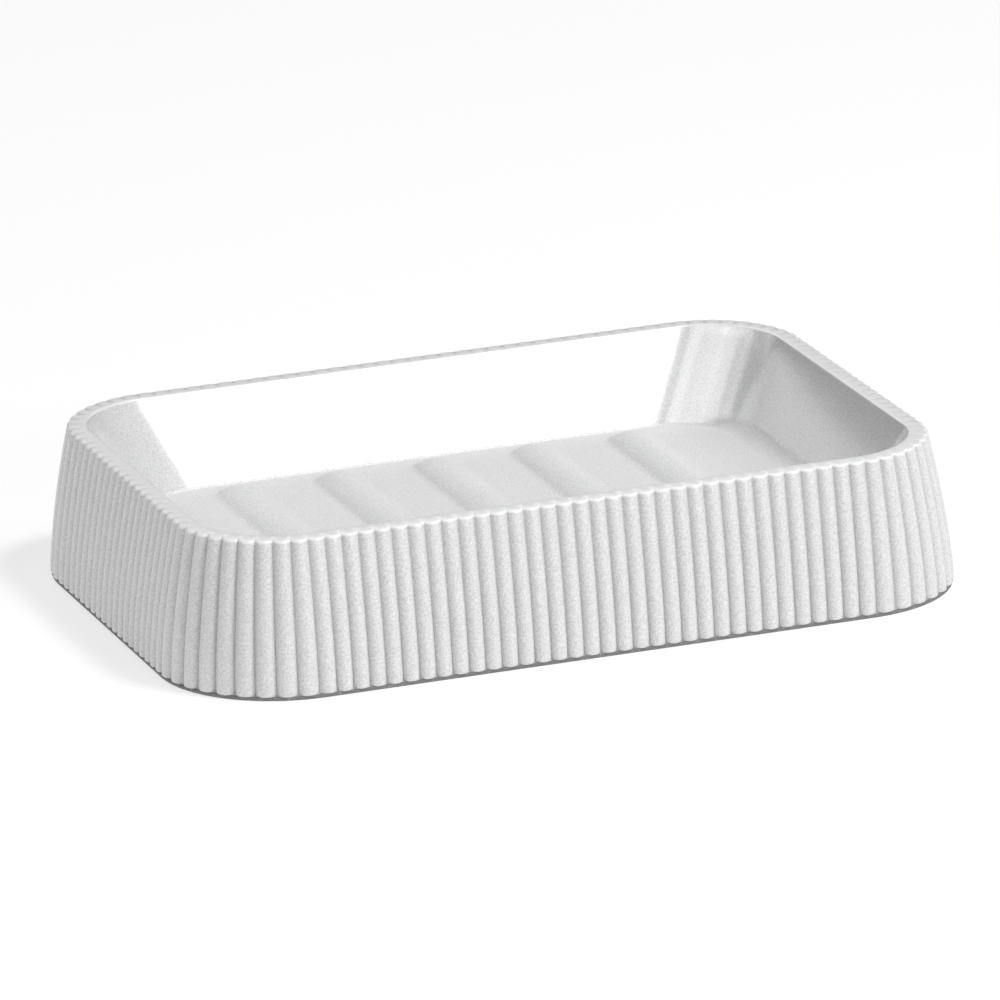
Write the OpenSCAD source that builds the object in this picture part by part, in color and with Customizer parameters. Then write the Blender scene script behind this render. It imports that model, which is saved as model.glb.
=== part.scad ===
// Soap dish: a moulded body with a ribbed, flared skirt, the plate that closes
// its hollow underside, and the pad that it stands on.
// All sizes are millimetres. The dish stands on the XY plane, centred on the
// Z axis, with its long side along X and its front towards -Y.

/* [Body] */
// Length over the ribs at the foot
body_length = 142; // [130:1:160]
// Width over the ribs at the foot
body_width = 100; // [92:1:115]
// Height of the moulded body, which stands on the pad
body_height = 26; // [23:0.5:30]
// Corner radius over the ribs at the rim
corner_radius = 18; // [16:0.5:21]
// How far the foot stands out beyond the rim
flare = 4; // [3:0.25:5.5]
// Fullness of the skirt's curve, where 1 is a straight slope
flare_fullness = 1.45; // [1.1:0.05:1.9]

/* [Ribs] */
// Distance between grooves along the rim
rib_pitch = 2.92; // [2.8:0.02:3.6]
// Depth of the ribs at the rim
rib_depth_rim = 0.9; // [0.6:0.05:1.1]
// Depth of the ribs at the foot
rib_depth_foot = 1.2; // [0.8:0.05:1.3]
// Rounding of the ribs' upper ends
rim_round = 0.6; // [0.4:0.05:0.9]
// Rounding of the ribs' lower ends
foot_round = 0.35; // [0.2:0.05:0.6]

/* [Basin] */
// Width of the rim, from the ribs' crests to the basin
rim_width = 3.6; // [3.2:0.1:4.6]
// Rounding of the rim's inner edge
rim_inner_round = 0.6; // [0.3:0.1:1]
// How far the basin's walls lean in from rim to floor
basin_lean = 3.5; // [2.5:0.25:5]
// Height of the basin's floor above the foot of the body
floor_height = 9.4; // [8.6:0.2:12]
// Corner radius of the basin at its floor
floor_corner_radius = 18; // [15:0.5:21]
// Radius between the basin's walls and its floor
floor_round = 1; // [0.5:0.25:2.5]

/* [Soap bars] */
// Number of raised bars across the floor
bar_count = 5; // [3:1:5]
// Distance between the bars
bar_spacing = 18.4; // [15:0.2:20]
// Width of a bar
bar_width = 8.2; // [6:0.2:10]
// Height of a bar above the floor
bar_height = 2.1; // [1.2:0.1:2.8]
// Gap between a bar's end and the foot of the basin's wall
bar_end_gap = 1.9; // [1:0.1:6]

/* [Underside] */
// Thickness of the skirt and of the basin's walls
wall = 2.2; // [1.8:0.1:2.5]
// Thickness of the basin's floor
floor_thickness = 2.2; // [1.8:0.1:2.6]
// Thickness of the stiffening walls under the floor
stiffener_thickness = 1.6; // [1.2:0.1:2]
// Gap between the stiffening walls and the plate
stiffener_gap = 0.4; // [0.2:0.1:1]

/* [Base plate] */
// Thickness of the base plate
plate_thickness = 2.2; // [1.6:0.1:2.6]
// Play between the edge of the plate and its seat in the skirt
plate_clearance = 0.15; // [0.05:0.05:0.3]
// Skirt left outside the plate, from the bottom of a rib's groove
plate_lip = 1.3; // [1:0.1:1.6]
// Diameter of the plate's pegs
peg_diameter = 3; // [2.4:0.1:4]
// Height of the pegs above the plate
peg_height = 3.4; // [2.6:0.1:3.6]
// Play between a peg and its hole, on the diameter
peg_clearance = 0.1; // [0.05:0.05:0.2]
// Play between a peg's tip and the end of its hole
peg_tip_gap = 0.4; // [0.2:0.1:0.6]
// Diameter of the bosses that take the pegs
boss_diameter = 7; // [6:0.5:9]
// Distance between the outer pegs, along the dish
peg_span_length = 92; // [76:2:96]
// Distance between the two rows of pegs
peg_span_width = 52; // [40:2:56]

/* [Grip pad] */
// Thickness of the pad
pad_thickness = 0.6; // [0.4:0.1:1.2]
// How far the pad lies inside the ribs' crests
pad_inset = 0.3; // [0.2:0.1:1]

/* [Hidden] */
$fn = 64;
overrun = 1;

// The outline over the ribs' crests at the rim is a core rectangle, grown by
// the corner radius. Every other outline of the dish is grown from that core.
core_x = body_length / 2 - flare - corner_radius;
core_y = body_width / 2 - flare - corner_radius;
// The ribs are spaced evenly along the line through the grooves' bottoms at the
// rim, an even number of them, with a groove in the middle of the front.
corner_arc = PI * (corner_radius - rib_depth_rim) / 2;
groove_line = 4 * (core_x + core_y + corner_arc);
rib_count = 2 * round(groove_line / rib_pitch / 2);
rib_spacing = groove_line / rib_count;

// Points of one rib, as shares of the way from one groove to the next
rib_point_shares = [0, 0.18, 0.5, 0.82];
// Levels of the skirt between its rounded ends, as shares of its height
skirt_level_shares = [0, 0.15, 0.5, 1];
// Part of the rib's depth that is left on the flat of the rim and of the foot
rib_end_share = 0.4;
// Height at which the hollow between skirt and basin closes
hollow_top_share = 0.7;
// Facets of a quarter turn in the basin and in the hollow
basin_facets = 14;
hollow_facets = 6;

pad_outset = flare - pad_inset;
seat_outset = flare - rib_depth_foot - plate_lip;
boss_bore_depth = peg_height + peg_tip_gap;
bar_end_y = body_width / 2 - flare - rim_width - basin_lean - bar_end_gap;
bar_radius = (pow(bar_width / 2, 2) + pow(bar_height, 2)) / (2 * bar_height);
bar_root = floor_thickness / 2;

// How far the crests stand out from the rim's outline, z above the foot
function crest_outset(z) =
    flare * (1 - pow(max(z, 0) / body_height, flare_fullness));

function rib_depth(z) =
    rib_depth_foot + (rib_depth_rim - rib_depth_foot) * z / body_height;

// How far the basin's wall stands in from the rim's outline, z above the foot
function basin_inset(z) =
    rim_width + basin_lean * (body_height - z) / (body_height - floor_height);

function basin_corner(z) =
    let (low = (body_height - z) / (body_height - floor_height),
         high_radius = corner_radius - rim_width)
    high_radius + (floor_corner_radius - high_radius) * low;

// Point of the core, and outward angle there, at a length along the groove
// line from the middle of the front towards +X
function core_place(along) =
    let (front = core_x, front_corner = front + corner_arc,
         right = front_corner + 2 * core_y, back_corner = right + corner_arc,
         back = back_corner + 2 * core_x, far_corner = back + corner_arc,
         left = far_corner + 2 * core_y, last_corner = left + corner_arc)
    along <= front ? [along, -core_y, -90] :
    along <= front_corner ? [core_x, -core_y, 90 * (along - front) / corner_arc - 90] :
    along <= right ? [core_x, along - front_corner - core_y, 0] :
    along <= back_corner ? [core_x, core_y, 90 * (along - right) / corner_arc] :
    along <= back ? [core_x - along + back_corner, core_y, 90] :
    along <= far_corner ? [-core_x, core_y, 90 * (along - back) / corner_arc + 90] :
    along <= left ? [-core_x, core_y - along + far_corner, 180] :
    along <= last_corner ? [-core_x, -core_y, 90 * (along - left) / corner_arc + 180] :
    [along - last_corner - core_x, -core_y, 270];

// Depth below the crest: each rib is a round reed, an arc from groove to groove
// with its crest halfway
function below_crest(share, depth) =
    let (arc_radius = (pow(rib_spacing / 2, 2) + pow(depth, 2)) / (2 * depth),
         across = (share - 0.5) * rib_spacing)
    arc_radius - sqrt(pow(arc_radius, 2) - pow(across, 2));

function grown_point(place, grown, z) =
    [place[0] + grown * cos(place[2]), place[1] + grown * sin(place[2]), z];

// Ring of points around the ribbed skirt at height z: the ribs run along the
// sides and the ends and fan out in the corners
function ribbed_ring(z, outset, depth) = [
    for (rib = [0 : rib_count - 1], share = rib_point_shares)
        grown_point(core_place((rib + share) * rib_spacing),
                    corner_radius + outset - below_crest(share, depth), z)
];

// Ring of points around a plain rounded rectangle at height z
function plain_ring(half_x, half_y, radius, z, facets) = [
    for (turn = [0 : 3], step = [0 : facets])
        let (side = turn == 0 || turn == 3 ? 1 : -1,
             end = turn < 2 ? 1 : -1,
             angle = 90 * (turn + step / facets))
        [side * (half_x - radius) + radius * cos(angle),
         end * (half_y - radius) + radius * sin(angle), z]
];

// The same, given how far it stands out from the rim's outline
function grown_ring(outset, radius, z, facets) =
    plain_ring(core_x + corner_radius + outset, core_y + corner_radius + outset,
               radius, z, facets);

// Closed solid through rings of points, listed from the lowest to the highest
module loft(rings) {
    count = len(rings[0]);
    top = (len(rings) - 1) * count;
    sides = [
        for (level = [0 : len(rings) - 2], i = [0 : count - 1])
            let (low = level * count, high = low + count, j = (i + 1) % count)
            each [[low + i, high + i, high + j], [low + i, high + j, low + j]]
    ];
    polyhedron(
        points = [for (ring = rings) each ring],
        faces = concat([[for (i = [0 : count - 1]) i]], sides,
                       [[for (i = [count - 1 : -1 : 0]) top + i]]));
}

// Flat rounded rectangle that stands out from the rim's outline
module outline(outset) {
    radius = corner_radius + outset;
    square([2 * (core_x + radius), 2 * core_y], center = true);
    square([2 * core_x, 2 * (core_y + radius)], center = true);
    for (x = [-core_x, core_x], y = [-core_y, core_y])
        translate([x, y]) circle(radius);
}

module slab(outset, low, high) {
    translate([0, 0, low]) linear_extrude(high - low) outline(outset);
}

// The body's outside: round ribs that fan out in the corners, deepen towards
// the foot and follow the skirt's curve
module ribbed_skirt() {
    low = foot_round;
    high = body_height - rim_round;
    foot_rings = [
        ribbed_ring(0, crest_outset(0) - foot_round, rib_depth_foot * rib_end_share)
    ];
    side_rings = [
        for (share = skirt_level_shares)
            let (z = low + (high - low) * share)
            ribbed_ring(z, crest_outset(z), rib_depth(z))
    ];
    rim_rings = [
        for (angle = [45, 0])
            let (z = high + rim_round * cos(angle),
                 fade = sin(angle) + rib_end_share * (1 - sin(angle)))
            ribbed_ring(z, crest_outset(z) - rim_round * (1 - sin(angle)),
                        rib_depth(z) * fade)
    ];
    loft(concat(foot_rings, side_rings, rim_rings));
}

// The room inside the basin, from its floor to above the rim
module basin_space() {
    floor_rings = [
        for (angle = [90, 60, 30, 0])
            let (z = floor_height + floor_round * (1 - sin(angle)),
                 inward = floor_round * (1 - cos(angle)))
            grown_ring(-basin_inset(z) - inward, basin_corner(z) - inward, z,
                       basin_facets)
    ];
    rim_rings = [
        for (angle = [0, 30, 60, 90])
            let (z = body_height - rim_inner_round * (1 - sin(angle)),
                 outward = rim_inner_round * (1 - cos(angle)))
            grown_ring(-basin_inset(z) + outward, basin_corner(z) + outward, z,
                       basin_facets)
    ];
    above = [
        grown_ring(rim_inner_round - rim_width,
                   basin_corner(body_height) + rim_inner_round,
                   body_height + overrun, basin_facets)
    ];
    loft(concat(floor_rings, rim_rings, above));
}

// The basin's outside as it is seen from below: its room, grown by the wall
module basin_shell() {
    loft([
        for (z = [floor_height - floor_thickness, body_height])
            grown_ring(wall - basin_inset(z), basin_corner(z) + wall, z, hollow_facets)
    ]);
}

// Everything inside the skirt's wall, up to where the skirt meets the basin
module skirt_room() {
    top = body_height * hollow_top_share;
    loft([
        for (z = [-overrun, top / 3, top * 2 / 3, top])
            let (outset = crest_outset(z) - rib_depth(z) - wall)
            grown_ring(outset, corner_radius + outset, z, hollow_facets)
    ]);
}

module at_pegs() {
    for (x = [-1, 0, 1], y = [-1, 1])
        translate([x * peg_span_length / 2, y * peg_span_width / 2, 0]) children();
}

// Bosses and thin crossing walls that hang from the floor, above the plate
module under_floor() {
    top = floor_height;
    low = plate_thickness + stiffener_gap;
    at_pegs() cylinder(d = boss_diameter, h = top);
    for (x = [-1, 0, 1])
        translate([x * peg_span_length / 2 - stiffener_thickness / 2,
                   -body_width / 2, low])
            cube([stiffener_thickness, body_width, top - low]);
    for (y = [-1, 1])
        translate([-body_length / 2,
                   y * peg_span_width / 2 - stiffener_thickness / 2, low])
            cube([body_length, stiffener_thickness, top - low]);
}

// Half of a bar's section: a low arc above the floor, with a root in it
module half_bar_section() {
    intersection() {
        translate([0, bar_height - bar_radius]) circle(bar_radius);
        translate([0, -bar_root]) square([bar_width / 2, bar_root + bar_height]);
    }
}

// One raised bar, running from front to back with domed ends
module soap_bar() {
    straight = 2 * bar_end_y - bar_width;
    rotate([90, 0, 0]) linear_extrude(straight, center = true) {
        half_bar_section();
        mirror([1, 0]) half_bar_section();
    }
    for (side = [-1, 1])
        translate([0, side * straight / 2, 0]) rotate_extrude() half_bar_section();
}

module soap_bars() {
    for (i = [0 : bar_count - 1])
        translate([(i - (bar_count - 1) / 2) * bar_spacing, 0, floor_height])
            soap_bar();
}

// The whole moulding but for its round holes and bars. Its facets leave the
// crests a hair inside the overall size, which the resize makes good.
module moulding() {
    resize([body_length, body_width, body_height]) difference() {
        ribbed_skirt();
        basin_space();
        difference() {
            skirt_room();
            basin_shell();
            under_floor();
        }
        slab(seat_outset, -overrun, plate_thickness);
    }
}

module dish_body() {
    color("whitesmoke") translate([0, 0, pad_thickness]) {
        difference() {
            moulding();
            translate([0, 0, plate_thickness]) at_pegs()
                cylinder(d = peg_diameter + peg_clearance, h = boss_bore_depth);
        }
        soap_bars();
    }
}

module base_plate() {
    color("gainsboro") translate([0, 0, pad_thickness]) {
        slab(seat_outset - plate_clearance, 0, plate_thickness);
        translate([0, 0, plate_thickness / 2]) at_pegs()
            cylinder(d = peg_diameter, h = plate_thickness / 2 + peg_height);
    }
}

module grip_pad() {
    color("dimgray") slab(pad_outset, 0, pad_thickness);
}

dish_body();
base_plate();
grip_pad();
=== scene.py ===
"""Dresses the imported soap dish: a fine-ribbed moulding, a rubber pad, the plate's finish and a studio."""

import bpy
import numpy as np
from bpy.props import FloatProperty, FloatVectorProperty, IntProperty, PointerProperty
from mathutils import Matrix, Vector
from mathutils.geometry import delaunay_2d_cdt


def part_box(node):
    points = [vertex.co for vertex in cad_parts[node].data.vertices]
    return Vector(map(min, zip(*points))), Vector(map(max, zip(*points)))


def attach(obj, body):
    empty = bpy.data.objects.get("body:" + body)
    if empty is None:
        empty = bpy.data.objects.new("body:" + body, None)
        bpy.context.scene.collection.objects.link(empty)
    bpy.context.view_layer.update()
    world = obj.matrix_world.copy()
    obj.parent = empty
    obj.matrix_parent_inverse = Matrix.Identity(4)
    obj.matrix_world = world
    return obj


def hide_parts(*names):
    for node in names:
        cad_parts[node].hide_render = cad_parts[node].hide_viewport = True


bl_info = {
    "name": "Soap Dish",
    "version": (1, 0, 0),
    "blender": (4, 5, 0),
    "location": "3D View > Sidebar > Soap Dish",
    "description": "Builds the ribbed soap dish, its pad and plate, and a studio to see them in",
    "category": "Add Mesh",
}

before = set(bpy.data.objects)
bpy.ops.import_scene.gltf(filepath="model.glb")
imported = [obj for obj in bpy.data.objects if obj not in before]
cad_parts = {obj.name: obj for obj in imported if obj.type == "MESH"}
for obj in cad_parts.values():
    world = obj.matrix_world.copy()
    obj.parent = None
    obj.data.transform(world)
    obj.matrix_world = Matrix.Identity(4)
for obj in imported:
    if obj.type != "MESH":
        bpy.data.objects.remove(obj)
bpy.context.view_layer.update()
MM = 0.001
BODY_LOW, BODY_HIGH = (np.array(corner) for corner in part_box("dish_body"))
PAD_LOW, PAD_HIGH = (np.array(corner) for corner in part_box("grip_pad"))


# Sizes and finishes


def length(name, description, default_mm):
    """A length property whose default is given in millimetres."""
    return FloatProperty(
        name=name, description=description, default=default_mm * MM, min=0, unit="LENGTH", precision=5
    )


def share(name, description, default):
    """A property from 0 to 1."""
    return FloatProperty(name=name, description=description, default=default, min=0, max=1, subtype="FACTOR")


def colour(name, description, default):
    """A colour property, without alpha."""
    return FloatVectorProperty(name=name, description=description, default=default, size=3, subtype="COLOR")


def number(name, description, default, **settings):
    """A plain number property."""
    return FloatProperty(name=name, description=description, default=default, **settings)


class MouldingSizes(bpy.types.PropertyGroup):
    """The white moulding's sizes. Its overall size is the CAD node's own."""

    corner_radius: length("Corner radius", "Radius of the rim's corners over the ribs", 18)
    flare: length("Flare", "How far the foot stands out beyond the rim", 4)
    flare_fullness: number("Fullness", "Curve of the skirt; 1 is straight", 1.45, min=1)
    ribs: IntProperty(name="Ribs", description="Ribs round the rim, an even number", default=142, min=4)
    rib_depth_rim: length("Rib depth at rim", "Depth of the grooves at the rim", 0.9)
    rib_depth_foot: length("Rib depth at foot", "Depth of the grooves at the foot", 1.2)
    groove_round: length("Groove rounding", "Softness of the bottom of a groove", 0.16)
    rim_round: length("Rim rounding", "Rounding of the ribs' upper ends", 0.55)
    foot_round: length("Foot rounding", "Rounding of the ribs' lower ends", 0.35)
    rim_width: length("Rim width", "From the ribs' crests to the basin", 3.6)
    inner_round: length("Inner rounding", "Rounding of the rim's inner edge", 0.45)
    end_lean: length("End lean", "How far the basin's end walls lean in from rim to floor", 8.0)
    side_lean: length("Side lean", "How far the basin's long walls lean in from rim to floor", 5.3)
    floor_height: length("Floor height", "Basin's floor above the foot of the moulding", 10.0)
    floor_radius: length("Floor corner radius", "Corner radius at the foot of the basin's walls", 14.2)
    side_round: length("Side rounding", "Radius between the basin's long walls and its floor", 0.6)
    end_round: length("End rounding", "Radius between the basin's end walls and its floor", 4)
    bars: IntProperty(name="Bars", description="Raised bars across the floor", default=5, min=1)
    bar_spacing: length("Bar spacing", "Distance between bars", 18.1)
    bar_width: length("Bar width", "Width of a bar", 8.2)
    bar_height: length("Bar height", "Height of a bar above the floor", 1.5)
    bar_gap: length("Bar end gap", "From a bar's end to the foot of the wall", 2.2)
    bar_blend: length("Bar blend", "Softness of the line where a bar meets the floor", 0.25)
    wall: length("Wall", "Thickness of the skirt and of the basin's walls", 2.2)
    floor_thickness: length("Floor thickness", "Thickness of the basin's floor", 2.2)
    plate_thickness: length("Plate thickness", "Depth of the seat for the base plate", 2.2)
    plate_lip: length("Plate lip", "Skirt left outside the plate's seat", 1.3)
    peg_hole: length("Peg hole", "Diameter of the holes in the bosses", 3.1)
    peg_depth: length("Peg hole depth", "Depth of the holes in the bosses", 3.8)
    boss: length("Boss", "Diameter of the bosses", 7)
    boss_span_x: length("Boss span along", "Distance between the outer bosses along the dish", 92)
    boss_span_y: length("Boss span across", "Distance between the two rows of bosses", 52)
    stiffener: length("Stiffening wall", "Thickness of the walls under the floor", 1.6)
    stiffener_gap: length("Stiffening wall gap", "Gap between those walls and the plate", 0.4)


class Finishes(bpy.types.PropertyGroup):
    """Colours and surface of the three materials."""

    plastic: colour("Plastic", "Colour of the moulding", (0.74, 0.741, 0.746))
    plastic_roughness: share("Plastic roughness", "Middle roughness of the moulding", 0.33)
    wall_roughness: share("Wall roughness", "Middle roughness of the basin's polished walls", 0.21)
    floor_roughness: share("Floor roughness", "Middle roughness of the basin's floor and bars", 0.85)
    wall_coat: share("Wall coat", "How far the polished walls shine as if varnished", 1.0)
    speckle: share("Speckle", "How far the plastic's fine speckle lightens and darkens it", 0.13)
    grain: length("Grain", "Size of the plastic's grain", 0.34)
    # Painted shade: the grooves' colour is darkened towards black, deepening the ribs' shading
    painted_groove_shade: share("Groove shade", "How much deeper the colour is at the bottom of a groove", 0.16)
    # Painted highlight: the rim's roundings and flat are painted paler, as where they catch light
    painted_edge_highlight: share("Edge shine", "How much paler the rubbed edges of the rim are", 0.9)
    plate: colour("Plate", "Colour of the base plate", (0.70, 0.70, 0.70))
    rubber: colour("Rubber", "Colour of the pad", (0.2, 0.2, 0.204))
    pad_edge_round: length("Pad edge", "Rounding of the die-cut edge", 0.1)


class Studio(bpy.types.PropertyGroup):
    """The camera's place round the dish and the strength of the lights."""

    azimuth: number("Azimuth", "Camera's turn round the dish, in degrees", -19.66)
    elevation: number("Elevation", "Camera's height, in degrees", 17.455)
    roll: number("Roll", "Camera's roll, in degrees", -1.818)
    distance: length("Distance", "Camera's distance from the dish", 1804.69)
    focal_px: number("Focal length", "In pixels of a 1000 pixel picture", 10507.28)
    side_step: number("Side step", "Camera's offset to the side", -0.011 * MM, precision=6)
    rise: number("Rise", "Camera's offset up the picture", 12.852 * MM, precision=6)
    light: number("Light", "Strength of all the lights", 1.0, min=0)


# Mesh helpers

# Columns to each rib on the skirt and on the plain surfaces. thin_out joins the two, four to one.
SKIRT_COLUMNS = 16
PLAIN_COLUMNS = 4
# How strongly the columns crowd towards the grooves
CROWDING = 0.5


def rim_half(dish):
    """Half length and half width of the rim over the ribs' crests."""
    return (BODY_HIGH - BODY_LOW)[:2] / 2 - dish.flare


def core_half(dish):
    """Half length and half width of the core rectangle, whose corners are the centres of the rim's arcs."""
    return rim_half(dish) - dish.corner_radius


def columns(dish, per_rib):
    """Columns round the dish, per_rib of them to each rib.

    The ribs are spaced evenly along the line of the grooves' bottoms at the rim, with a groove in the middle
    of the front. Gives for each column the point of the core rectangle that it grows from, as signed shares
    of the core's half length and half width, its outward direction, and its distance from the nearest crest
    as a share of a rib. A column stands at its even step less the crowding times sin(2 pi step) / (2 pi).
    """
    core_x, core_y = core_half(dish)
    arc = np.pi / 2 * (dish.corner_radius - dish.rib_depth_rim)
    knots = np.cumsum([0, core_x, arc, 2 * core_y, arc, 2 * core_x, arc, 2 * core_y, arc, core_x])
    step = np.arange(per_rib) / per_rib
    place = step - CROWDING * np.sin(2 * np.pi * step) / (2 * np.pi)
    along = (np.arange(dish.ribs)[:, None] + place[None]).ravel() * knots[-1] / dish.ribs
    sign_x = np.interp(along, knots, [0, 1, 1, 1, 1, -1, -1, -1, -1, 0])
    sign_y = np.interp(along, knots, [-1, -1, -1, 1, 1, 1, 1, -1, -1, -1])
    angle = np.radians(np.interp(along, knots, [-90, -90, 0, 0, 90, 90, 180, 180, 270, 270]))
    nearness = np.tile(np.abs(place - 0.5), dish.ribs)
    return np.stack([sign_x, sign_y], axis=1), np.stack([np.cos(angle), np.sin(angle)], axis=1), nearness


def rib_spacing(dish):
    """Distance between grooves: the length of the line through their bottoms at the rim over the ribs."""
    turn = 2 * np.pi * (dish.corner_radius - dish.rib_depth_rim)
    return (4 * core_half(dish).sum() + turn) / dish.ribs


def with_height(flat, height):
    """Grid of x and y, one row to a level, with each level's height as z."""
    return np.concatenate([flat, np.broadcast_to(height[:, None, None], flat.shape[:2] + (1,))], axis=2)


def rings(signs, directions, half, radius, height, drop=0.0):
    """Grid of points, one row to a level: the core's point plus the outward direction times the radius.

    half is the row's half length and half width, radius its corner radius, height its z, and drop how far
    each point falls below the crest line.
    """
    core = half - radius[:, None]
    reach = radius[:, None] - drop
    return with_height(signs[None] * core[:, None, :] + directions[None] * reach[..., None], height)


class Surface:
    """Vertices and faces gathered from grids, bands and caps, and made into one mesh."""

    def __init__(self):
        self.points, self.faces, self.count = [], [], 0

    def add(self, points):
        """Adds points and gives the first one's index."""
        points = np.asarray(points, float).reshape(-1, 3)
        start = self.count
        self.points.append(points)
        self.count += len(points)
        return start

    def grid(self, points):
        """Quads over a grid of rows by columns, whose columns close on themselves. Gives the indices."""
        rows, cols = points.shape[:2]
        left = self.add(points) + np.arange(rows * cols).reshape(rows, cols)
        right = np.roll(left, -1, axis=1)
        self.faces.append(np.stack([left[:-1], right[:-1], right[1:], left[1:]], axis=-1).reshape(-1, 4))
        return left

    def thin_out(self, fine, coarse, flip=False):
        """Triangles from a ring to one with a quarter of its points: a coarse side takes four fine sides."""
        near, far = coarse, np.roll(coarse, -1)
        step = [np.roll(fine, -k)[::4] for k in range(5)]
        parts = [
            (step[0], step[1], near),
            (step[1], step[2], near),
            (step[2], far, near),
            (step[2], step[3], far),
            (step[3], step[4], far),
        ]
        triangles = np.concatenate([np.stack(part, axis=-1) for part in parts])
        self.faces.append(triangles[:, ::-1] if flip else triangles)

    def build(self, name, material):
        """The object of all that was gathered, smooth and with its material."""
        mesh = bpy.data.meshes.new(name)
        faces = [face for part in self.faces for face in np.asarray(part).tolist()]
        mesh.from_pydata(np.concatenate(self.points).tolist(), [], faces)
        mesh.validate()
        mesh.shade_smooth()
        mesh.materials.append(material)
        piece = bpy.data.objects.new(name, mesh)
        bpy.context.scene.collection.objects.link(piece)
        return piece


# The moulding

# The reed's arc would reach this many times the groove's depth at half a pitch
REED_REACH = 1.12
# Share of the ribs' depth that is left at the far end of the foot's and of the rim's rounding
FOOT_DEPTH_LEFT = 0.4
RIM_DEPTH_LEFT = 0.35
# Levels of the skirt between its roundings, and of the basin at the rim, on its walls and at the floor
SKIRT_LEVELS = 13
RIM_LEVELS = 7
WALL_LEVELS = 7
FLOOR_LEVELS = 14
# The basin's levels follow its roundings up to this turn away from flat, in degrees
ROUNDING_TURN = 75
# Power of how far a column faces along the dish that parts the end walls from the corners
END_POWER = 8
# Where a bar's blend with the floor has faded to nothing, beyond the bar's edge
BAR_FADE = 1.6 * MM
# Lattice lines over a bar: how many across it, how far from its middle those beyond each edge stand, how
# many along it and over each domed end, and how far the last one passes that end
LINES_ACROSS = 23
LINES_BEYOND = (4.7 * MM, 5.3 * MM)
LINES_ALONG = 26
LINES_OVER_END = 13
END_MARGIN = 0.9 * MM
# Points of the floor's triangulation closer than this count as one
FLOOR_EPSILON = 1e-7
# The hollow turns from the skirt to the basin at this share of the height. It has so many levels up the
# skirt to the turn, and so many from the turn down along the basin to its floor's underside
HOLLOW_TURN = 0.7
SKIRT_HOLLOW_LEVELS = 7
BASIN_HOLLOW_LEVELS = 4
# Bosses and stiffening walls end this far below the basin's floor, inside its thickness
ROOT_DEPTH = 1 * MM
# Those walls end this far short of the skirt at the plate. Higher up they run into it
SKIRT_GAP = 0.2 * MM
BOSS_FACETS = 40
# The polished walls turn matt over this many millimetres above the floor, and this many more at the ends
MATT_RISE = 0.45
MATT_RISE_ENDS = 2.5
# Shares along the levels from the rim's outer rounding to its flat, and from there to the inner wall
# The grooves' painted shade fades out over the rim's outer rounding by these shares
PAINTED_SHADE_AT_RIM = np.linspace(0.8, 0, 6)
# Painted highlight over the rim's outer rounding, and from its flat over its inner rounding, by these shares
PAINTED_HIGHLIGHT_OUTSIDE = np.array([0.3, 0.7, 1, 1, 0.8, 0.55])
PAINTED_HIGHLIGHT_INSIDE = np.array([0.55, 0.8, 1, 1, 0.7, 0.3, 0])
SATIN_INSIDE = np.linspace(1, 0, 5)


def crest_outset(dish, z, tall):
    """Outset of the crest line beyond the rim: flare times (1 - share of the height to the fullness)."""
    return dish.flare * (1 - np.clip(z / tall, 0, 1) ** dish.flare_fullness)


def groove(dish, nearness, depth):
    """Fall below the crest: a round reed over one pitch, blended into the flat bottom of a narrow groove.

    The reed is an arc through the crest that would reach slightly below the groove's bottom at half a pitch.
    The blend is a smooth minimum, (a + b - sqrt((a - b)^2 + w^2)) / 2, with the groove's rounding as w, less
    its value at the crest.
    """
    pitch = rib_spacing(dish)
    over = depth * REED_REACH
    radius = ((pitch / 2) ** 2 + over**2) / (2 * over)
    fall = radius - np.sqrt(np.maximum(radius**2 - (nearness * pitch) ** 2, 0))
    soft = dish.groove_round
    crest = (depth - np.sqrt(depth**2 + soft**2)) / 2
    return (fall + depth - np.sqrt((fall - depth) ** 2 + soft**2)) / 2 - crest


def skirt_rows(dish, tall):
    """Levels of the ribbed skirt from foot to rim: height, outset of the crests and depth of the ribs.

    Between the roundings the levels are even, and the depth goes evenly from the foot's to the rim's. Each
    rounding is a quarter turn: the height goes with its sine, the crests draw in by its radius times
    (1 - cosine), and the ribs' depth fades with the cosine.
    """
    turn = np.radians([90, 72, 54, 36, 18])
    foot_z = dish.foot_round * (1 - np.sin(turn))
    foot_out = crest_outset(dish, foot_z, tall) - dish.foot_round * (1 - np.cos(turn))
    foot_fade = FOOT_DEPTH_LEFT + (1 - FOOT_DEPTH_LEFT) * np.cos(turn)
    high = tall - dish.rim_round
    wall_z = dish.foot_round + (high - dish.foot_round) * np.linspace(0, 1, SKIRT_LEVELS)
    turn = np.radians([15, 30, 45, 60, 75, 90])
    rim_z = high + dish.rim_round * np.sin(turn)
    rim_out = crest_outset(dish, rim_z, tall) - dish.rim_round * (1 - np.cos(turn))
    rim_fade = RIM_DEPTH_LEFT + (1 - RIM_DEPTH_LEFT) * np.cos(turn)
    z = np.concatenate([foot_z, wall_z, rim_z])
    out = np.concatenate([foot_out, crest_outset(dish, wall_z, tall), rim_out])
    fade = np.concatenate([foot_fade, np.ones_like(wall_z), rim_fade])
    depth = dish.rib_depth_foot + (dish.rib_depth_rim - dish.rib_depth_foot) * z / tall
    return z, out, depth * fade


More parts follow.
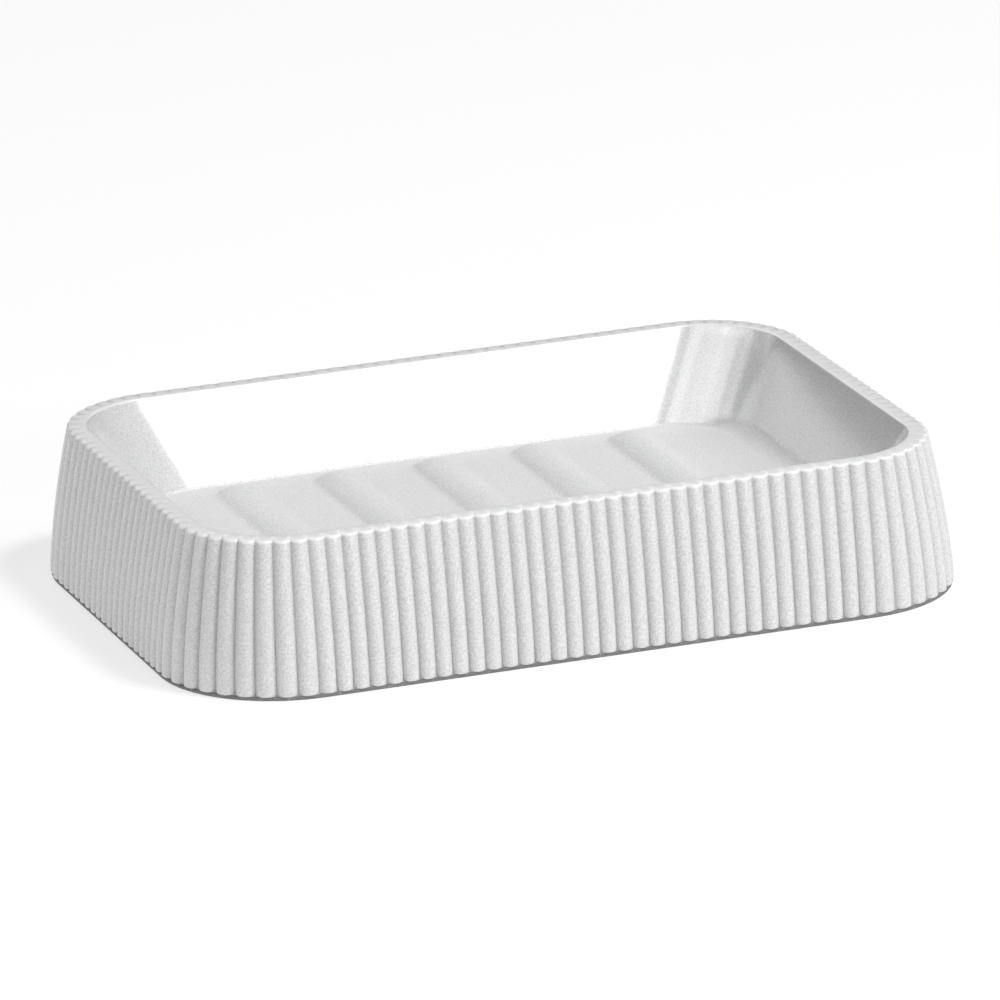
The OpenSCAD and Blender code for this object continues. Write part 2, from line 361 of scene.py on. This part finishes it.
def wall_inset(dish, z, tall, lean, rounding):
    """Inset of a leaning wall of the basin from the crest line, at heights z.

    From the rim down it is an arc of the inner rounding, a straight line at the slope whose tangent is the
    lean over the depth, and an arc that meets the floor. Each arc meets the line where their slopes agree.
    """
    slope = np.arctan2(lean, tall - dish.floor_height)
    edge, width = dish.inner_round, dish.rim_width
    top_z = tall - edge * (1 - np.sin(slope))
    low_z = dish.floor_height + rounding * (1 - np.sin(slope))
    top_in = width - edge * (1 - np.cos(slope))
    line = top_in + (top_z - z) * np.tan(slope)
    foot = top_in + (top_z - low_z) * np.tan(slope) + rounding * np.cos(slope)
    upper = width - edge + np.sqrt(np.maximum(edge**2 - (edge - tall + z) ** 2, 0))
    lower = foot - np.sqrt(np.maximum(rounding**2 - (rounding - z + dish.floor_height) ** 2, 0))
    return np.where(z > top_z, upper, np.where(z < low_z, lower, line))


def basin_walls(dish, tall):
    """Grid of the basin from the rim's flat to the floor, its levels and each column's share of end wall.

    The levels crowd towards the floor as a square does towards zero, for the sides' small rounding. The
    corner radius shrinks with the inset along both roundings and goes evenly from one to the other between
    them. Two such grids, one with the sides' rounding at the floor and one with the ends', are mixed by a
    high power of how far a column faces along the dish, so that a corner keeps the sides' crisp foot nearly
    up to the end wall.
    """
    signs, directions, _ = columns(dish, PLAIN_COLUMNS)
    end_share = np.abs(directions[:, 0]) ** END_POWER
    turn = np.radians(np.linspace(0, ROUNDING_TURN, RIM_LEVELS))
    height_of_turn = 1 - np.cos(turn[-1])
    rim_z = tall - dish.inner_round * (1 - np.cos(turn))
    floor_z = dish.floor_height + dish.end_round * height_of_turn * np.linspace(1, 0, FLOOR_LEVELS) ** 2
    wall_z = np.linspace(rim_z[-1], floor_z[0], WALL_LEVELS + 2)[1:-1]
    z = np.concatenate([rim_z, wall_z, floor_z])
    top = RIM_LEVELS - 1
    grids = []
    for rounding in (dish.side_round, dish.end_round):
        insets = [wall_inset(dish, z, tall, lean, rounding) for lean in (dish.end_lean, dish.side_lean)]
        inset = np.stack(insets, axis=1)
        mean = inset.mean(axis=1)
        foot = dish.floor_height + rounding * height_of_turn
        corner = np.interp(z, [foot, rim_z[-1]], [dish.floor_radius, dish.corner_radius - mean[top]])
        corner[:top] = dish.corner_radius - mean[:top]
        corner -= np.maximum(mean - np.interp(foot, z[::-1], mean[::-1]), 0)
        grids.append(rings(signs, directions, rim_half(dish)[None] - inset, corner, z))
    return grids[0] + (grids[1] - grids[0]) * end_share[None, :, None], z, end_share


def bar_layout(dish):
    """The bars' middle lines: their x, and how far each runs to either side before its domed end begins."""
    centres = (np.arange(dish.bars) - (dish.bars - 1) / 2) * dish.bar_spacing
    floor_half_width = rim_half(dish)[1] - dish.rim_width - dish.side_lean
    return centres, floor_half_width - dish.bar_gap - dish.bar_width / 2


def bar_height(dish, x, y):
    """Height of the raised bars: an arc of the distance from each bar's middle line, joined to the floor.

    The middle line stops half a bar's width short of its end, so the ends are domes. The joint is a smooth
    maximum, (h + sqrt(h^2 + w^2)) / 2, less what that adds at the bar's top, and brought back to zero a
    little way out.
    """
    centres, end = bar_layout(dish)
    tall, half = dish.bar_height, dish.bar_width / 2
    dx = np.abs(x[:, None] - centres[None]).min(axis=1)
    dy = np.maximum(np.abs(y) - end, 0)
    away = np.hypot(dx, dy)
    radius = (half**2 + tall**2) / (2 * tall)
    arc = np.sqrt(np.maximum(radius**2 - away**2, 0)) - (radius - tall)
    beyond = away - half
    arc = np.where(beyond > 0, -beyond * half / (radius - tall), arc)
    soft = dish.bar_blend
    top = (tall + np.sqrt(tall**2 + soft**2)) / 2 - tall
    raised = (arc + np.sqrt(arc**2 + soft**2)) / 2
    far = np.clip(beyond / BAR_FADE, 0, 1)
    return np.maximum(raised * (1 - far) ** 2 - top * np.clip(arc / tall, 0, 1), 0)


def basin_floor(dish, surface, edge, edge_points, level):
    """The floor: a triangulation of its edge and of fine lattices over the bars, raised by the bars' height.

    A lattice has even lines across a bar with two more beyond each edge, and even lines along it and over
    each domed end. The edge's own vertices are kept, so the floor and the walls are one surface.
    """
    centres, end = bar_layout(dish)
    beyond = np.array(LINES_BEYOND)
    across = np.concatenate([np.linspace(-0.5, 0.5, LINES_ACROSS) * dish.bar_width, -beyond, beyond])
    tips = np.linspace(0, dish.bar_width / 2 + END_MARGIN, LINES_OVER_END + 1)[1:]
    along = np.concatenate([-(end + tips)[::-1], np.linspace(-end, end, LINES_ALONG), end + tips])
    x = (centres[:, None] + np.sort(across)[None]).ravel()
    lattice_x, lattice_y = np.meshgrid(x, along)
    lattice = np.stack([lattice_x.ravel(), lattice_y.ravel()], axis=1)
    count = len(edge)
    flat = [Vector(point) for point in np.vstack([edge_points[:, :2], lattice]).tolist()]
    sides = [(i, (i + 1) % count) for i in range(count)]
    points, _, faces, origins, _, _ = delaunay_2d_cdt(flat, sides, [], 1, FLOOR_EPSILON)
    xy = np.array([tuple(point) for point in points])
    z = level + bar_height(dish, xy[:, 0], xy[:, 1])
    index = surface.add(np.column_stack([xy, z])) + np.arange(len(points))
    for place, source in enumerate(origins):
        first = min(source) if source else count
        if first < count:
            index[place] = edge[first]
    surface.faces.append(index[np.array(faces)])


def revolve(surface, profile, centre, facets):
    """A profile of radius and height turned about an upright axis: centre plus radius times direction."""
    turn = np.linspace(0, 2 * np.pi, facets, endpoint=False)
    profile = np.array(profile, float)
    ring = np.stack([np.cos(turn), np.sin(turn)], axis=1)
    flat = profile[:, None, :1] * ring[None] + np.array(centre)[None, None, :]
    surface.grid(with_height(flat, profile[:, 1]))


def block(surface, low, high):
    """A closed box between two corners."""
    (x0, y0, z0), (x1, y1, z1) = low, high
    start = surface.add([(x, y, z) for z in (z0, z1) for y in (y0, y1) for x in (x0, x1)])
    sides = [(0, 2, 3, 1), (4, 5, 7, 6), (0, 1, 5, 4), (2, 6, 7, 3), (0, 4, 6, 2), (1, 3, 7, 5)]
    surface.faces.append(start + np.array(sides))


def underside(dish, surface, foot, tall, base):
    """The plate's seat, the hollow between skirt and basin, the floor's underside, bosses and stiffening.

    Going up, the hollow is the wall's thickness inside the grooves' bottoms, and from HOLLOW_TURN of the
    height down to the floor's underside it is the wall's thickness outside the basin.
    """
    signs, directions, _ = columns(dish, PLAIN_COLUMNS)
    depth_change = dish.rib_depth_foot - dish.rib_depth_rim

    def skirt_room(z):
        """Outset of the hollow inside the skirt."""
        return crest_outset(dish, z, tall) - dish.rib_depth_foot - dish.wall + depth_change * z / tall

    def down(z):
        """Share of the way from the rim down to the floor."""
        return (tall - z) / (tall - dish.floor_height)

    def basin_row(z):
        """Height, the two outsets and the corner radius of the hollow round the basin."""
        outsets = (dish.wall - dish.rim_width - lean * down(z) for lean in (dish.end_lean, dish.side_lean))
        corner = (dish.corner_radius - dish.rim_width) * (1 - down(z)) + dish.floor_radius * down(z)
        return (z, *outsets, corner + dish.wall)

    def skirt_row(z, outset):
        """The same for the hollow inside the skirt."""
        return (z, outset, outset, dish.corner_radius + outset)

    seat = dish.flare - dish.rib_depth_foot - dish.plate_lip
    turn_z = tall * HOLLOW_TURN
    under = dish.floor_height - dish.floor_thickness
    rows = [skirt_row(0.0, seat), skirt_row(dish.plate_thickness, seat)]
    levels = np.linspace(dish.plate_thickness, turn_z, SKIRT_HOLLOW_LEVELS)
    rows += [skirt_row(z, skirt_room(z)) for z in levels]
    rows += [basin_row(z) for z in np.linspace(turn_z, under, BASIN_HOLLOW_LEVELS)]
    z, out_x, out_y, corner = np.array(rows).T
    half = rim_half(dish)[None] + np.stack([out_x, out_y], axis=1)
    index = surface.grid(rings(signs, directions, half, corner, base + z)[::-1])[::-1]
    surface.thin_out(foot, index[0], flip=True)
    surface.faces.append(index[-1][None, ::-1])

    high = base + dish.floor_height - ROOT_DEPTH
    low = base + dish.plate_thickness
    hole_top = low + dish.peg_depth
    hole, outside = dish.peg_hole / 2, dish.boss / 2
    profile = [(0, high), (outside, high), (outside, low), (hole, low), (hole, hole_top), (0, hole_top)]
    for x in (-1, 0, 1):
        for y in (-1, 1):
            revolve(surface, profile, (x * dish.boss_span_x / 2, y * dish.boss_span_y / 2), BOSS_FACETS)

    low += dish.stiffener_gap
    wide, deep = rim_half(dish) + skirt_room(dish.plate_thickness) - SKIRT_GAP
    thick = dish.stiffener / 2
    for x in (-1, 0, 1):
        x = x * dish.boss_span_x / 2
        block(surface, (x - thick, -deep, low), (x + thick, deep, high))
    for y in (-1, 1):
        y = y * dish.boss_span_y / 2
        block(surface, (-wide, y - thick, low), (wide, y + thick, high))


def moulding(dish, material):
    """The whole white moulding: its ribbed skirt, rim, basin and floor, and its hollow underside.

    Three numbers on each vertex tell the material where it is what. satin is 0 on the basin's polished
    walls, 2 on its floor and 1 elsewhere. groove is the share of the groove's depth, faded out over the
    rim's outer rounding; it sets the painted shade in the grooves. edge is 1 on the rim's roundings and
    about half on its flat; it sets the painted highlight there.
    """
    tall = BODY_HIGH[2] - BODY_LOW[2]
    base = BODY_LOW[2]
    surface = Surface()
    signs, directions, nearness = columns(dish, SKIRT_COLUMNS)
    z, out, depth = skirt_rows(dish, tall)
    drop = groove(dish, nearness[None], depth[:, None])
    half = rim_half(dish)[None] + out[:, None]
    skirt_index = surface.grid(rings(signs, directions, half, dish.corner_radius + out, base + z, drop))
    basin, z, end_share = basin_walls(dish, tall)
    basin[..., 2] += base
    basin_index = surface.grid(basin)
    surface.thin_out(skirt_index[-1], basin_index[0])
    floor_start = surface.count
    basin_floor(dish, surface, basin_index[-1], basin[-1], base + dish.floor_height)
    floor_end = surface.count
    underside(dish, surface, skirt_index[0], tall, base)
    piece = surface.build("moulding", material)

    satin, grooves, edges = np.ones(surface.count), np.zeros(surface.count), np.zeros(surface.count)
    reach = (MATT_RISE + MATT_RISE_ENDS * end_share) * MM
    satin[basin_index] = 2 * np.clip(1 - (z[:, None] - dish.floor_height) / reach, 0, 1)
    satin[basin_index[: len(SATIN_INSIDE)]] = SATIN_INSIDE[:, None]
    satin[floor_start:floor_end] = 2
    # The groove numbers carry the painted shade of the grooves
    grooves[skirt_index] = drop / drop.max(axis=1, keepdims=True)
    grooves[skirt_index[-len(PAINTED_SHADE_AT_RIM) :]] *= PAINTED_SHADE_AT_RIM[:, None]
    # The edge numbers carry the painted highlight on the rim's roundings and flat
    edges[skirt_index[-len(PAINTED_HIGHLIGHT_OUTSIDE) :]] = PAINTED_HIGHLIGHT_OUTSIDE[:, None]
    edges[basin_index[: len(PAINTED_HIGHLIGHT_INSIDE)]] = PAINTED_HIGHLIGHT_INSIDE[:, None]
    for name, values in (("satin", satin), ("groove", grooves), ("edge", edges)):
        attribute = piece.data.attributes.new(name, "FLOAT", "POINT")
        attribute.data.foreach_set("value", values.astype(np.float32))
    return piece


# The pad

# The upper edge's rounding as a share of the lower edge's
UPPER_EDGE = 0.5


def die_cut_pad(dish, rounding, material):
    """The pad: a flat sheet with the foot's plain outline and a small rounding at both edges.

    Each rounding is a quarter turn: the height goes by its radius times (1 - sine), and the outline stands
    in by its radius times (1 - cosine).
    """
    signs, directions, _ = columns(dish, PLAIN_COLUMNS)
    half = (PAD_HIGH - PAD_LOW)[:2] / 2
    radius = dish.corner_radius + half[0] - (BODY_HIGH - BODY_LOW)[0] / 2 + dish.flare
    turn = np.radians([90, 60, 30, 0])
    fall, shrink = 1 - np.sin(turn), 1 - np.cos(turn)
    above = rounding * UPPER_EDGE
    z = np.concatenate([rounding * fall, PAD_HIGH[2] - above * fall[::-1]])
    inward = np.concatenate([rounding * shrink, above * shrink[::-1]])
    surface = Surface()
    index = surface.grid(rings(signs, directions, half[None] - inward[:, None], radius - inward, z))
    surface.faces.append(index[0][None, ::-1])
    surface.faces.append(index[-1][None])
    return surface.build("pad_sheet", material)


# Materials


class Socket:
    """A node's output that Python's operators turn into Math nodes."""

    def __init__(self, shader, link):
        self.shader, self.link = shader, link

    def __add__(self, other):
        return self.shader.node("ShaderNodeMath", {"operation": "ADD"}, self, other)

    def __sub__(self, other):
        return self.shader.node("ShaderNodeMath", {"operation": "SUBTRACT"}, self, other)

    def __rsub__(self, other):
        return self.shader.node("ShaderNodeMath", {"operation": "SUBTRACT"}, other, self)

    def __mul__(self, other):
        return self.shader.node("ShaderNodeMath", {"operation": "MULTIPLY"}, self, other)

    __radd__, __rmul__ = __add__, __mul__


class Shader:
    """A material's node tree round one Principled BSDF."""

    def __init__(self, name):
        self.material = bpy.data.materials.new(name)
        self.material.use_nodes = True
        self.tree = self.material.node_tree
        self.surface = next(n for n in self.tree.nodes if n.type == "BSDF_PRINCIPLED")

    def node(self, kind, settings, *values, output=0, **named):
        """Any node: its settings first, then the values or links of its sockets, by place or by name."""
        node = self.tree.nodes.new(kind)
        for key, value in settings.items():
            setattr(node, key, value)
        for place, value in enumerate(values):
            if value is not None:
                self.feed(node.inputs[place], value)
        for key, value in named.items():
            self.feed(node.inputs[key.replace("_", " ")], value)
        return Socket(self, node.outputs[output])

    def feed(self, socket, value):
        """Links a socket to another node's output, or sets its value."""
        if isinstance(value, Socket):
            self.tree.links.new(value.link, socket)
        else:
            socket.default_value = value

    def set(self, **values):
        """Feeds the Principled BSDF's sockets by name."""
        for key, value in values.items():
            self.feed(self.surface.inputs[key.replace("_", " ")], value)

    def place(self):
        """The object's own coordinates."""
        return self.node("ShaderNodeTexCoord", {}, output="Object")

    def attribute(self, name):
        """A number that the piece's vertices carry."""
        return self.node("ShaderNodeAttribute", {"attribute_name": name}, output="Fac")

    def noise(self, place, size, detail, roughness=0.5):
        """Noise whose cells are about size across, from 0 to 1."""
        kind, scale = "ShaderNodeTexNoise", 1 / size
        return self.node(kind, {}, Vector=place, Scale=scale, Detail=detail, Roughness=roughness)

    def ramp(self, value, low, high, to_low=0.0, to_high=1.0):
        """Smooth step of the value from low to high, brought to another range."""
        settings = {"interpolation_type": "SMOOTHSTEP"}
        return self.node("ShaderNodeMapRange", settings, value, low, high, to_low, to_high)

    def tint(self, amount, first, second):
        """Mix of two colours by amount. The node's five sockets before the colours are for numbers."""
        unused = [None] * 5
        return self.node("ShaderNodeMix", {"data_type": "RGBA"}, amount, *unused, first, second, output=2)

    def bump(self, height, strength, distance):
        """Relief whose height is the value times the distance."""
        return self.node("ShaderNodeBump", {}, Strength=strength, Distance=distance, Height=height)


def rgba(rgb, factor=1.0):
    """A colour times a factor, at most 1, with alpha."""
    return [min(channel * factor, 1.0) for channel in rgb] + [1.0]


def moulded_plastic(finish):
    """White plastic with a fine satin grain: speckle in its colour, and grain in its roughness and relief.

    The piece's own numbers say where it is what: on the polished walls, where satin is 0, it is smoother and
    coated, and on the floor, where satin is 2, it is matt. Its colour is painted darker in the grooves, as
    shade, and paler on the rim's roundings, as a highlight.
    """
    shader = Shader("moulded_plastic")
    place = shader.place()
    fine = shader.noise(place, finish.grain, 2.0, 0.6)
    finer = shader.noise(place, finish.grain * 0.6, 1.0)
    broad = shader.noise(place, 22 * MM, 2.0)
    speckle = shader.ramp(fine * 0.5 + finer * 0.5, 0.36, 0.64)
    satin, painted_shade_mask, edge = (shader.attribute(name) for name in ("satin", "groove", "edge"))
    level = shader.ramp(satin, 0, 1, finish.wall_roughness, finish.plastic_roughness)
    level = level + shader.ramp(satin, 1, 2, 0, finish.floor_roughness - finish.plastic_roughness)
    dark, pale = rgba(finish.plastic, 1 - finish.speckle), rgba(finish.plastic, 1 + finish.speckle)
    tone = shader.tint(speckle, dark, pale)
    # Painted shade: the colour goes towards black at the bottom of the grooves
    tone = shader.tint(painted_shade_mask * finish.painted_groove_shade, tone, rgba(finish.plastic, 0))
    shader.set(
        # Painted highlight: paler on the rim's roundings and flat
        Base_Color=shader.tint(edge * finish.painted_edge_highlight, tone, rgba(finish.plastic, 1.25)),
        Roughness=shader.ramp(fine, 0.3, 0.7, -0.04, 0.04) + broad * 0.04 - 0.02 + level,
        Normal=shader.bump(fine * 0.7 + finer * 0.3, 0.35, 0.05 * MM),
        IOR=1.6,
        Coat_Weight=shader.ramp(satin, 0, 1, finish.wall_coat, 0),
        Coat_Roughness=finish.wall_roughness,
        Coat_IOR=1.7,
    )
    return shader.material


def plate_plastic(finish):
    """Matt off-white plastic with a coarser spark-eroded grain."""
    shader = Shader("plate_plastic")
    place = shader.place()
    grain = shader.noise(place, 0.5 * MM, 4.0, 0.65)
    broad = shader.noise(place, 30 * MM, 2.0)
    shader.set(
        Base_Color=shader.tint(broad, rgba(finish.plate, 0.96), rgba(finish.plate, 1.03)),
        Roughness=shader.ramp(grain, 0.3, 0.7, 0.5, 0.66),
        Normal=shader.bump(grain, 0.5, 0.06 * MM),
        IOR=1.5,
    )
    return shader.material


def sheet_rubber(finish):
    """Dark grey sheet rubber: a fine open grain, with paler dusty flecks."""
    shader = Shader("sheet_rubber")
    place = shader.place()
    pores = shader.noise(place, 0.22 * MM, 3.0, 0.7)
    flecks = shader.ramp(shader.noise(place, 0.6 * MM, 2.0), 0.5, 0.75)
    shader.set(
        Base_Color=shader.tint(flecks, rgba(finish.rubber), rgba(finish.rubber, 1.5)),
        Roughness=shader.ramp(pores, 0.3, 0.7, 0.72, 0.9),
        Normal=shader.bump(pores, 0.6, 0.06 * MM),
        IOR=1.52,
    )
    return shader.material


# The studio

# Name, azimuth and elevation in degrees seen from the dish, width and height in metres, and power in watts.
# The row of corner lights follows the directions that the basin's back right corner mirrors to the camera.
SOFTBOXES = (
    ("rim_light", 49, 62, 0.25, 0.25, 11.5),
    ("top_light", 0, 75, 1.2, 1.0, 2.4),
    ("back_light", 168, 38, 1.0, 0.6, 3.2),
    ("corner_light_1", -20, 34, 0.7, 0.14, 1.5),
    ("corner_light_2", -48, 38, 0.6, 0.14, 1.3),
    ("corner_light_3", -70, 38, 0.6, 0.14, 1.3),
    ("corner_light_4", -92, 32, 0.6, 0.14, 0.9),
    ("wall_light", 20, 20, 0.5, 0.2, 4.4),
    ("wall_fade", 40, 21, 0.5, 0.2, 0.25),
    ("right_light", 60, 40, 0.6, 0.4, 2.7),
    ("left_light", -126, 12, 0.5, 0.2, 2.5),
)
# The lights' distance in metres from the middle of the dish, and that middle
LAMP_DISTANCE = 1.5
DISH_MIDDLE = Vector((0, 0, 13 * MM))
# The studio floor is a disc of this radius in metres, a hair below the pad, so that the two don't coincide
FLOOR_RADIUS = 6
FLOOR_SIDES = 96
FLOOR_DROP = 0.05 * MM
FLOOR_GREY = [0.4, 0.4, 0.4, 1]
WHITE = [1, 1, 1, 1]
WORLD_STRENGTH = 0.02
# The sensor's width in millimetres, and the width in pixels that the focal length is given for
SENSOR_WIDTH = 36
PICTURE_WIDTH = 1000


def floor_material():
    """Plain pale floor, a little luminous, so that it stays near white."""
    shader = Shader("studio_floor")
    shader.set(Base_Color=FLOOR_GREY, Roughness=0.9, Emission_Color=WHITE, Emission_Strength=0.64)
    return shader.material


def studio_floor():
    """The pale disc that the dish stands on: one face whose corners are the radius times cosine and sine."""
    surface = Surface()
    turn = np.linspace(0, 2 * np.pi, FLOOR_SIDES, endpoint=False)
    x, y = FLOOR_RADIUS * np.cos(turn), FLOOR_RADIUS * np.sin(turn)
    start = surface.add(np.column_stack([x, y, np.full_like(turn, -FLOOR_DROP)]))
    surface.faces.append(start + np.arange(FLOOR_SIDES)[None])
    return surface.build("studio_floor", floor_material())


def softbox(name, azimuth, elevation, width, height, power):
    """A rectangular area light at the lamps' distance from the middle of the dish, turned to it."""
    light = bpy.data.lights.new(name, "AREA")
    light.shape, light.size, light.size_y, light.energy = "RECTANGLE", width, height, power
    turn, rise = np.radians([azimuth, elevation])
    away = Vector((np.sin(turn) * np.cos(rise), -np.cos(turn) * np.cos(rise), np.sin(rise)))
    lamp = bpy.data.objects.new(name, light)
    lamp.location = DISH_MIDDLE + LAMP_DISTANCE * away
    lamp.rotation_euler = (-away).to_track_quat("-Z", "Y").to_euler()
    bpy.context.scene.collection.objects.link(lamp)


def photo_camera(studio):
    """Camera on a long lens: turned round the dish, raised, rolled, and stepped aside in its own plane."""
    turn, rise, roll = np.radians([studio.azimuth, studio.elevation, studio.roll])
    back = np.array([np.sin(turn) * np.cos(rise), -np.cos(turn) * np.cos(rise), np.sin(rise)])
    right = np.cross(-back, [0, 0, 1])
    right /= np.linalg.norm(right)
    up = np.cross(right, -back)
    x = np.cos(roll) * right + np.sin(roll) * up
    y = -np.sin(roll) * right + np.cos(roll) * up
    place = -studio.side_step * x + studio.rise * y + studio.distance * back
    data = bpy.data.cameras.new("photo_camera")
    data.sensor_width = SENSOR_WIDTH
    data.lens = studio.focal_px / PICTURE_WIDTH * SENSOR_WIDTH
    data.clip_start, data.clip_end = 0.05, 50
    camera = bpy.data.objects.new("photo_camera", data)
    matrix = np.eye(4)
    matrix[:3] = np.column_stack([x, y, back, place])
    camera.matrix_world = Matrix(matrix.tolist())
    bpy.context.scene.collection.objects.link(camera)
    bpy.context.scene.camera = camera


# Operators


class SOAPDISH_OT_moulding(bpy.types.Operator):
    """Build the white moulding with its ribs, basin and bars"""

    bl_idname = "soap_dish.moulding"
    bl_label = "Moulding"

    def execute(self, context):
        piece = moulding(context.scene.dish_sizes, moulded_plastic(context.scene.dish_finishes))
        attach(piece, "root")
        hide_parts("dish_body")
        return {"FINISHED"}


class SOAPDISH_OT_pad(bpy.types.Operator):
    """Build the rubber pad under the foot"""

    bl_idname = "soap_dish.pad"
    bl_label = "Pad"

    def execute(self, context):
        finishes = context.scene.dish_finishes
        piece = die_cut_pad(context.scene.dish_sizes, finishes.pad_edge_round, sheet_rubber(finishes))
        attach(piece, "root")
        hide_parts("grip_pad")
        return {"FINISHED"}


class SOAPDISH_OT_plate(bpy.types.Operator):
    """Give the base plate its finish"""

    bl_idname = "soap_dish.plate"
    bl_label = "Base plate"

    def execute(self, context):
        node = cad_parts["base_plate"]
        material = plate_plastic(context.scene.dish_finishes)
        if not node.material_slots:
            raise RuntimeError("the base plate has no material slot")
        for slot in node.material_slots:
            slot.material = material
        return {"FINISHED"}


class SOAPDISH_OT_studio(bpy.types.Operator):
    """Set up the pale floor, the soft lights and the camera"""

    bl_idname = "soap_dish.studio"
    bl_label = "Studio"

    def execute(self, context):
        scene, studio = context.scene, context.scene.dish_studio
        studio_floor()
        world = bpy.data.worlds.new("studio")
        world.use_nodes = True
        background = world.node_tree.nodes["Background"]
        background.inputs["Color"].default_value = WHITE
        background.inputs["Strength"].default_value = WORLD_STRENGTH
        scene.world = world
        scene.view_settings.view_transform = "Standard"
        for name, azimuth, elevation, width, height, power in SOFTBOXES:
            softbox(name, azimuth, elevation, width, height, power * studio.light)
        photo_camera(studio)
        return {"FINISHED"}


class SOAPDISH_PT_panel(bpy.types.Panel):
    """The sidebar's list of the dish's pieces"""

    bl_label = "Soap Dish"
    bl_space_type = "VIEW_3D"
    bl_region_type = "UI"
    bl_category = "Soap Dish"

    def draw(self, context):
        for name in GROUPS:
            group, box = getattr(context.scene, name), self.layout.box()
            for key in group.__annotations__:
                box.prop(group, key)
        for operator in OPERATORS:
            self.layout.operator(operator.bl_idname)


GROUPS = {"dish_sizes": MouldingSizes, "dish_finishes": Finishes, "dish_studio": Studio}
OPERATORS = (SOAPDISH_OT_moulding, SOAPDISH_OT_pad, SOAPDISH_OT_plate, SOAPDISH_OT_studio)
CLASSES = (*GROUPS.values(), *OPERATORS, SOAPDISH_PT_panel)


def register():
    for item in CLASSES:
        bpy.utils.register_class(item)
    for name, group in GROUPS.items():
        setattr(bpy.types.Scene, name, PointerProperty(type=group))


def unregister():
    for name in GROUPS:
        delattr(bpy.types.Scene, name)
    for item in reversed(CLASSES):
        bpy.utils.unregister_class(item)


def main():
    register()
    bpy.ops.soap_dish.moulding()
    bpy.ops.soap_dish.pad()
    bpy.ops.soap_dish.plate()
    bpy.ops.soap_dish.studio()


if __name__ == "__main__":
    main()
